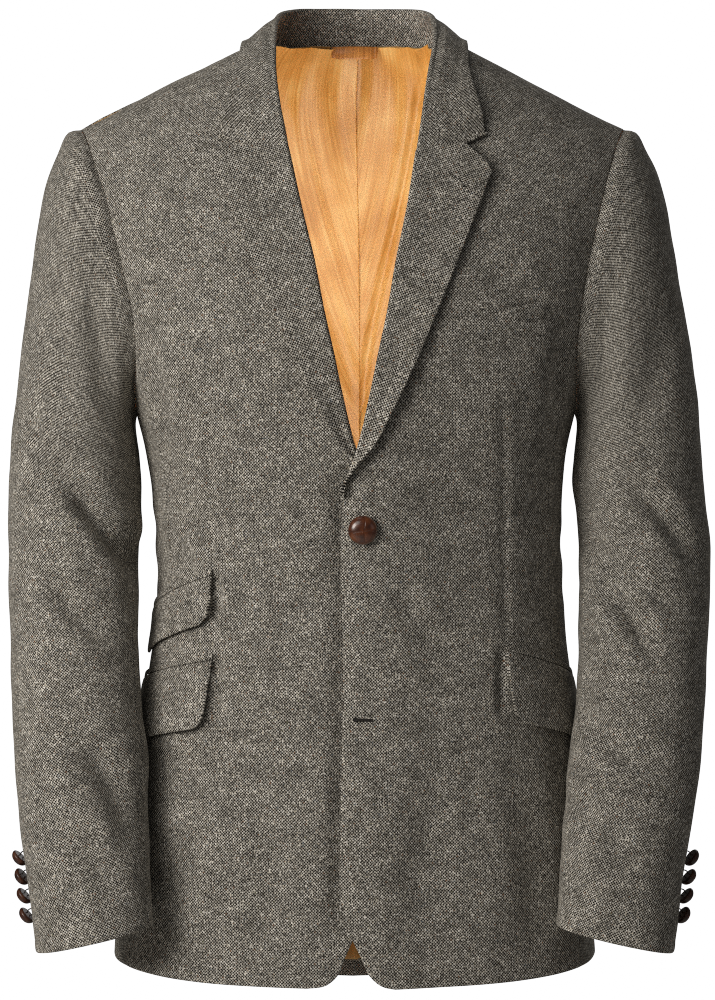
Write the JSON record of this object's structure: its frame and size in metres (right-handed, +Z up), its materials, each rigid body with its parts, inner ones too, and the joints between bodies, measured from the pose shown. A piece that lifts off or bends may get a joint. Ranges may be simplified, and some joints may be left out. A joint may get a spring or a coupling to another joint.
{
  "type": "tweed jacket",
  "caption": "Single-breasted tweed hacking jacket with notched lapels, slanted flap pockets and a ticket pocket, filled out as worn and fastened at the upper button.",
  "frame": {"origin": "on the centre line where the wearer's shoulders carry the jacket, level with the middle of the shoulder seams", "axes": "+Z up, the front of the jacket faces -Y, the wearer's left side is at +X"},
  "size_m": [0.5686, 0.2864, 0.8209],
  "materials": {
    "tweed": "rough woollen tweed, fine grey-brown hopsack weave with flecks",
    "satin_lining": "golden satin with a soft sheen",
    "button_leather": "polished dark brown plaited leather"
  },
  "bodies": {
    "root": {"front_left": "tweed", "front_right": "tweed", "side_left": "tweed", "side_right": "tweed", "back_left": "tweed", "back_right": "tweed", "lapel_left": "tweed", "lapel_right": "tweed", "collar_leaf": "tweed", "collar_stand": "tweed", "sleeve_top_left": "tweed", "sleeve_top_right": "tweed", "sleeve_under_left": "tweed", "sleeve_under_right": "tweed", "breast_welt": "tweed", "ticket_flap": "tweed", "ticket_jet": "tweed", "hip_flap_left": "tweed", "hip_flap_right": "tweed", "hip_jet_left": "tweed", "hip_jet_right": "tweed", "lining_left": "satin_lining", "lining_right": "satin_lining", "hanger_loop": "satin_lining", "front_button": "button_leather", "lower_button": "button_leather", "cuff_button_left_1": "button_leather", "cuff_button_left_2": "button_leather", "cuff_button_left_3": "button_leather", "cuff_button_left_4": "button_leather", "cuff_button_right_1": "button_leather", "cuff_button_right_2": "button_leather", "cuff_button_right_3": "button_leather", "cuff_button_right_4": "button_leather"}
  },
  "joints": []
}
